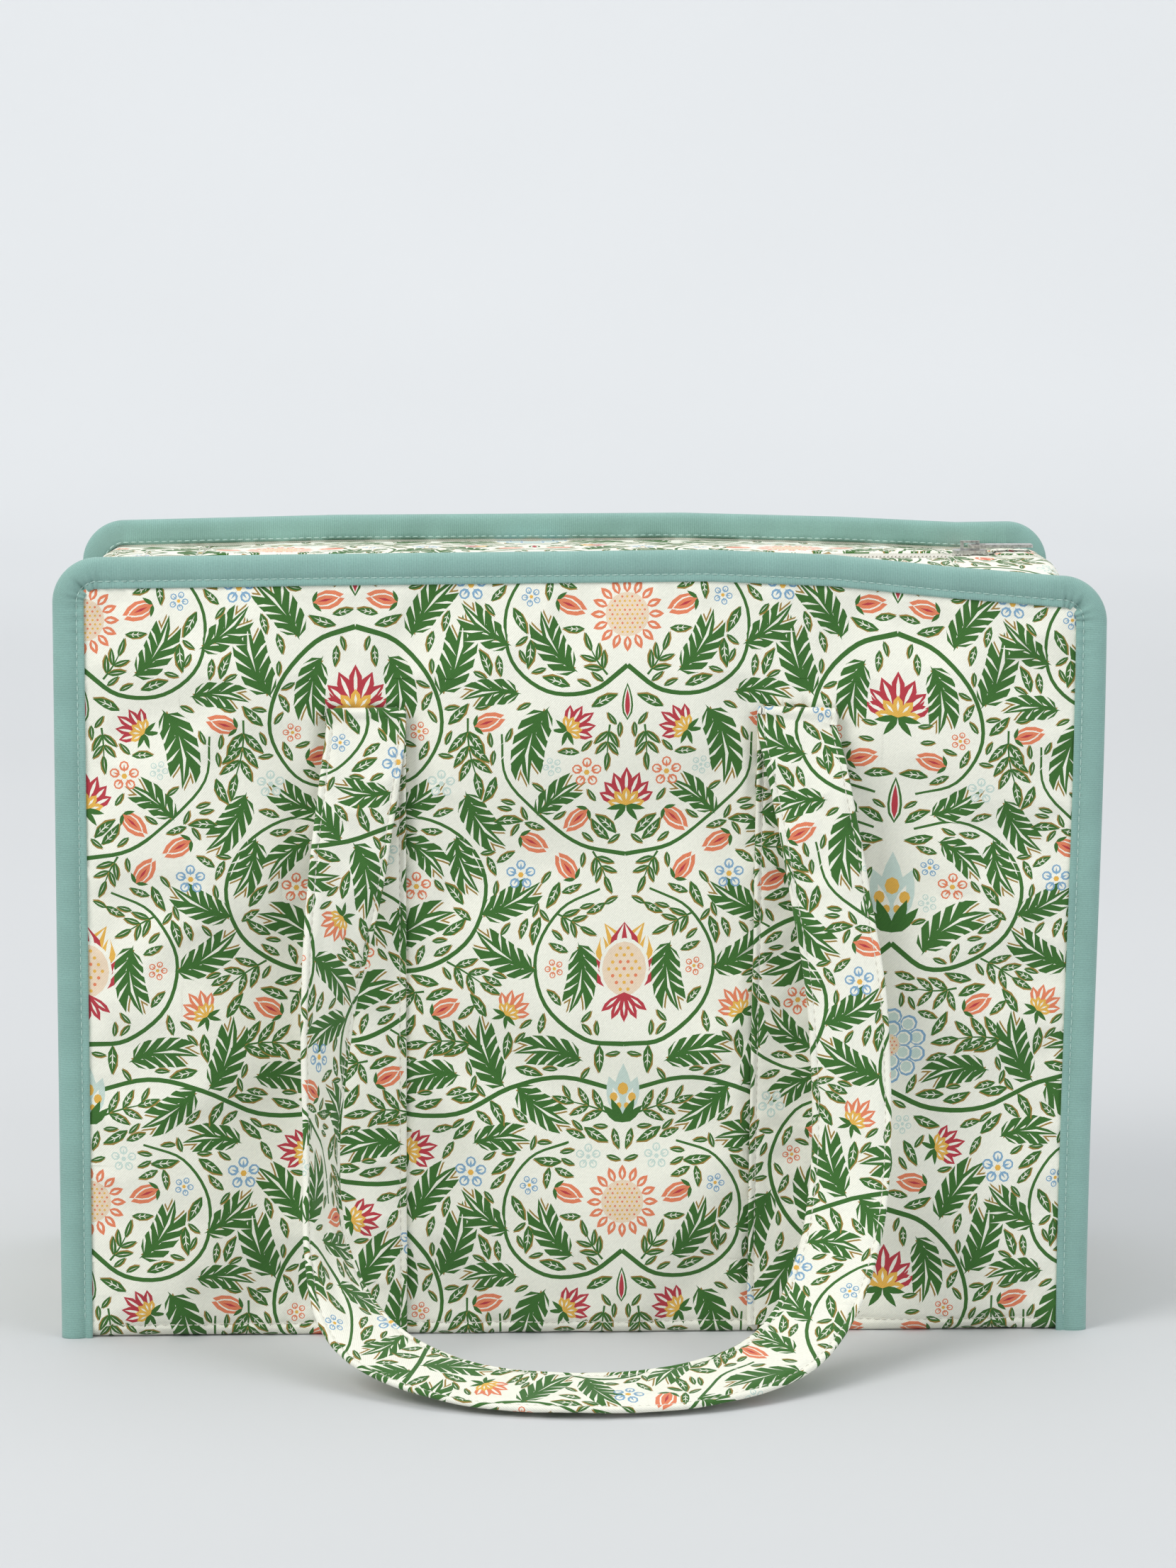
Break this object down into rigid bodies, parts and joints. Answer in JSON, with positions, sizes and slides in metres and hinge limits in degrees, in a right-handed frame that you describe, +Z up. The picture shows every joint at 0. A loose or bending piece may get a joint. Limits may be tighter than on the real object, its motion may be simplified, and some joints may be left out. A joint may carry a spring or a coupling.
{
  "type": "zip-top sewing bag with trays",
  "caption": "Soft box-shaped zip-top sewing bag in printed cloth with bound edges, two hanging strap handles, an opening top and stacked lift-out trays.",
  "frame": {"origin": "centre of the base, on the surface the bag stands on", "axes": "+Z up, -Y towards the front face, +X to the right seen from the front"},
  "size_m": [0.42, 0.4798, 0.318],
  "materials": {
    "print_cloth": "matte printed twill",
    "binding": "ribbed grosgrain",
    "lining": "matte plain weave",
    "zip_tape": "woven tape",
    "zip_coil": "satin nylon coil",
    "zip_metal": "satin nickel",
    "board": "matte",
    "tray": "satin"
  },
  "bodies": {
    "bag": {"front_panel": "print_cloth", "back_panel": "print_cloth", "left_gusset": "print_cloth", "right_gusset": "print_cloth", "base_panel": "print_cloth", "base_board": "board", "front_binding": "binding", "back_binding": "binding", "front_lining": "lining", "back_lining": "lining", "left_lining": "lining", "right_lining": "lining", "base_lining": "lining", "left_zip_tab": "binding", "right_zip_tab": "binding", "front_left_strap": "print_cloth", "front_right_strap": "print_cloth", "back_left_strap": "print_cloth", "back_right_strap": "print_cloth"},
    "front_flap": {"front_top_strip": "print_cloth", "front_flap_lining": "lining", "front_zip_tape": "zip_tape", "front_zip_coil": "zip_coil"},
    "back_flap": {"back_top_strip": "print_cloth", "back_flap_lining": "lining", "back_zip_tape": "zip_tape", "back_zip_coil": "zip_coil"},
    "slider": {"zip_slider": "zip_metal"},
    "pull": {"zip_pull": "zip_metal"},
    "front_handle": {"front_left_drop": "print_cloth", "front_right_drop": "print_cloth"},
    "front_loop": {"front_grip": "print_cloth"},
    "back_handle": {"back_left_drop": "print_cloth", "back_right_drop": "print_cloth"},
    "back_loop": {"back_grip": "print_cloth"},
    "lower_tray": {"lower_tray": "tray"},
    "upper_tray": {"upper_tray": "tray"}
  },
  "joints": [
    {"name": "front_flap_hinge", "type": "hinge", "parent": "bag", "child": "front_flap", "pos_m": [0, -0.0935, 0.30625], "axis": [1, 0, 0], "range_deg": [0, 90]},
    {"name": "back_flap_hinge", "type": "hinge", "parent": "bag", "child": "back_flap", "pos_m": [0, 0.0935, 0.30625], "axis": [-1, 0, 0], "range_deg": [0, 90]},
    {"name": "zip_travel", "type": "slide", "parent": "bag", "child": "slider", "axis": [-1, 0, 0], "range_m": [0, 0.331]},
    {"name": "pull_swing", "type": "hinge", "parent": "slider", "child": "pull", "pos_m": [0.1655, 0, 0.31115], "axis": [0, -1, 0], "range_deg": [0, 170]},
    {"name": "front_handle_fold", "type": "hinge", "parent": "bag", "child": "front_handle", "pos_m": [0, -0.1035, 0.2576], "axis": [-1, 0, 0], "range_deg": [0, 155]},
    {"name": "front_handle_knee", "type": "hinge", "parent": "front_handle", "child": "front_loop", "pos_m": [0, -0.139, 0.075], "axis": [-1, 0, 0], "range_deg": [-50, 0]},
    {"name": "back_handle_fold", "type": "hinge", "parent": "bag", "child": "back_handle", "pos_m": [0, 0.1035, 0.2576], "axis": [1, 0, 0], "range_deg": [0, 155]},
    {"name": "back_handle_knee", "type": "hinge", "parent": "back_handle", "child": "back_loop", "pos_m": [0, 0.139, 0.075], "axis": [1, 0, 0], "range_deg": [-50, 0]},
    {"name": "lower_tray_lift", "type": "slide", "parent": "bag", "child": "lower_tray", "axis": [0, 0, 1], "range_m": [0, 0.085]},
    {"name": "upper_tray_lift", "type": "slide", "parent": "lower_tray", "child": "upper_tray", "axis": [0, 0, 1], "range_m": [0, 0.085]}
  ],
  "couplings": [
    {"joint": "front_handle_knee", "follows": "front_handle_fold", "ratio": -0.3},
    {"joint": "back_handle_knee", "follows": "back_handle_fold", "ratio": -0.3}
  ]
}
